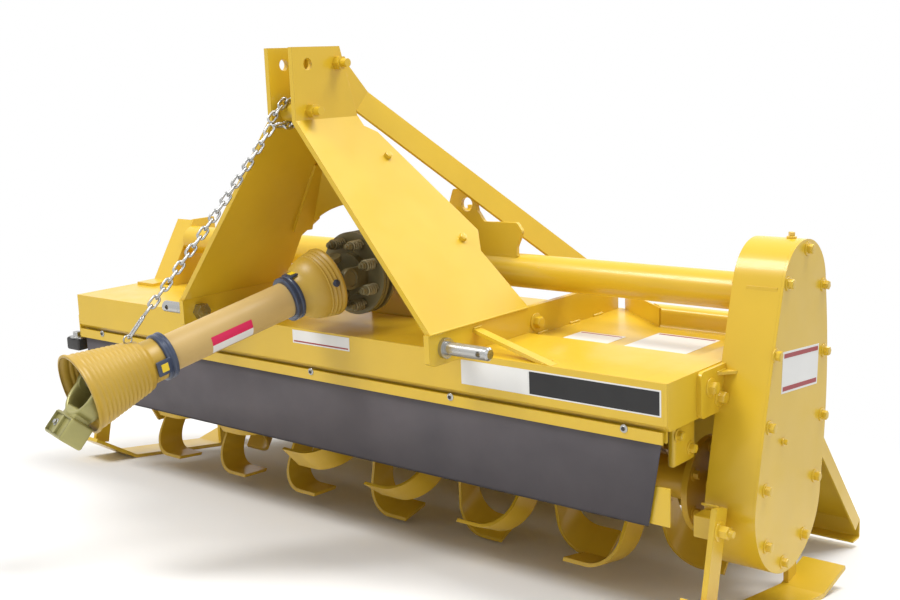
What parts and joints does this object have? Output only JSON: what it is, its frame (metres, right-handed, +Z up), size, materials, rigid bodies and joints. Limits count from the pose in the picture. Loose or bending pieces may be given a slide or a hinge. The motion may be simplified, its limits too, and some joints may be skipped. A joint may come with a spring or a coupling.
{
  "type": "tractor-mounted rotary tiller",
  "caption": "Three-point rotary tiller with a side chain drive, tined rotor under a hood, hinged tailgate, skid shoes, slip clutch and guarded driveline.",
  "frame": {"origin": "middle of the footprint on the ground, with the machine parked on its skid shoes", "axes": "+X towards the chain case along the rotor, +Y rearwards to the tailgate, +Z up"},
  "size_m": [2.12, 1.6984, 1.1462],
  "materials": {
    "yellow_paint": "gloss yellow enamel",
    "tine_paint": "yellow enamel",
    "zinc": "zinc plated",
    "rubber_flap": "matt grey-black rubber",
    "guard_plastic": "tan yellow guard tube",
    "cone_plastic": "yellow guard cone",
    "collar_plastic": "dark blue-grey",
    "dark_steel": "dark olive coated steel",
    "yoke_paint": "olive yellow passivated"
  },
  "bodies": {
    "frame": {"front_rail": "yellow_paint", "flap_strip": "yellow_paint", "rubber_flap": "rubber_flap", "hood": "yellow_paint", "side_plate_right": "yellow_paint", "side_plate_left": "yellow_paint", "hinge_rod": "zinc", "hitch_bar_right": "yellow_paint", "hitch_pin_right": "zinc", "hitch_bar_left": "yellow_paint", "hitch_pin_left": "zinc", "mast_plate_right": "yellow_paint", "mast_plate_left": "yellow_paint", "mast_bolt": "zinc", "mast_spacer": "zinc", "strut_right": "yellow_paint", "strut_left": "yellow_paint", "cross_bracket": "yellow_paint", "gearbox": "yellow_paint", "drive_tube": "yellow_paint", "support_tube": "yellow_paint", "lifting_plate": "yellow_paint", "left_upright": "yellow_paint", "chain_case": "yellow_paint", "chain_case_cover": "yellow_paint", "case_bracket": "yellow_paint", "rotor_bearings": "yellow_paint", "skid_right": "yellow_paint", "skid_strap_right": "yellow_paint", "skid_left": "yellow_paint", "skid_strap_left": "yellow_paint", "slip_clutch": "dark_steel", "clutch_springs": "zinc", "holding_chain": "zinc"},
    "rotor": {"rotor_shaft": "tine_paint", "rotor_tines": "tine_paint"},
    "tailgate": {"tailgate": "yellow_paint"},
    "driveline": {"joint_cross": "dark_steel", "inner_yoke": "dark_steel", "outer_yoke": "dark_steel", "guard_tube": "guard_plastic", "inner_cone": "cone_plastic", "outer_cone": "cone_plastic", "inner_collar": "collar_plastic", "outer_collar": "collar_plastic", "far_cross": "dark_steel"},
    "coupler": {"coupler_yoke": "yoke_paint"}
  },
  "joints": [
    {"name": "rotor_spin", "type": "hinge", "parent": "frame", "child": "rotor", "pos_m": [0, 0.12043, 0.25031], "axis": [1, 0, 0], "continuous": true},
    {"name": "tailgate_hinge", "type": "hinge", "parent": "frame", "child": "tailgate", "pos_m": [0, 0.44376, 0.42097], "axis": [1, 0, 0], "range_deg": [0, 60]},
    {"name": "driveline_swing", "type": "hinge", "parent": "frame", "child": "driveline", "pos_m": [0.054, -0.20161, 0.62583], "axis": [-1, 0, 0], "range_deg": [0, 28], "deforming": ["holding_chain"]},
    {"name": "coupler_yoke_swing", "type": "hinge", "parent": "driveline", "child": "coupler", "pos_m": [-0.06946, -0.75419, 0.39355], "axis": [-0.9794, 0.186, 0.0782], "range_deg": [0, 70]}
  ]
}
